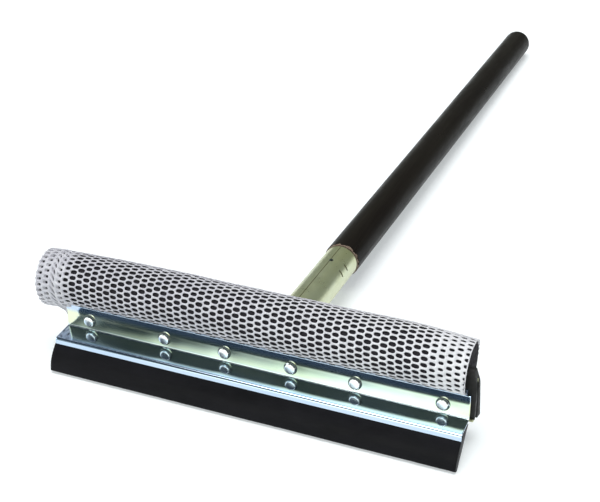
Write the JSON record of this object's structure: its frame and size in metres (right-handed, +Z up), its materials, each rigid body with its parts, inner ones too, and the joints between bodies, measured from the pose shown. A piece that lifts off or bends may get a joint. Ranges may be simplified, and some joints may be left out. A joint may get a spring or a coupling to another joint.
{
  "type": "window cleaning squeegee",
  "caption": "Hand window squeegee: metal head with a flexing rubber blade and a net-covered sponge roll on a wooden handle.",
  "frame": {"origin": "bottom centre of the bounding box as the tool lies on a table, on its blade's rear edge and on the handle near its tip", "axes": "+X along the head to the right seen from the blade, +Y towards the handle's tip, +Z up"},
  "size_m": [0.2182, 0.5334, 0.0527],
  "materials": {
    "zinc_sheet": "polished",
    "yellow_zinc_sheet": "satin",
    "rivet_steel": "polished",
    "blade_rubber": "satin",
    "strip_rubber": "matte",
    "foam": "matte",
    "nylon_net": "satin",
    "dark_wood": "satin"
  },
  "bodies": {
    "head_and_handle": {"front_plate": "zinc_sheet", "rear_jaw": "zinc_sheet", "back_plate": "yellow_zinc_sheet", "backing_strip": "strip_rubber", "blade_heel": "blade_rubber", "sponge": "foam", "net_sleeve": "nylon_net", "rivet_1": "rivet_steel", "rivet_2": "rivet_steel", "rivet_3": "rivet_steel", "rivet_4": "rivet_steel", "rivet_5": "rivet_steel", "rivet_6": "rivet_steel", "ferrule": "yellow_zinc_sheet", "ferrule_brad": "rivet_steel", "handle": "dark_wood"},
    "blade": {"blade_lip": "blade_rubber"}
  },
  "joints": [
    {"name": "blade_flex", "type": "hinge", "parent": "head_and_handle", "child": "blade", "pos_m": [0.0059, -0.25916, 0.00981], "axis": [1, 0, 0], "range_deg": [-35, 35], "stiffness_Nm_per_rad": 0.5}
  ]
}
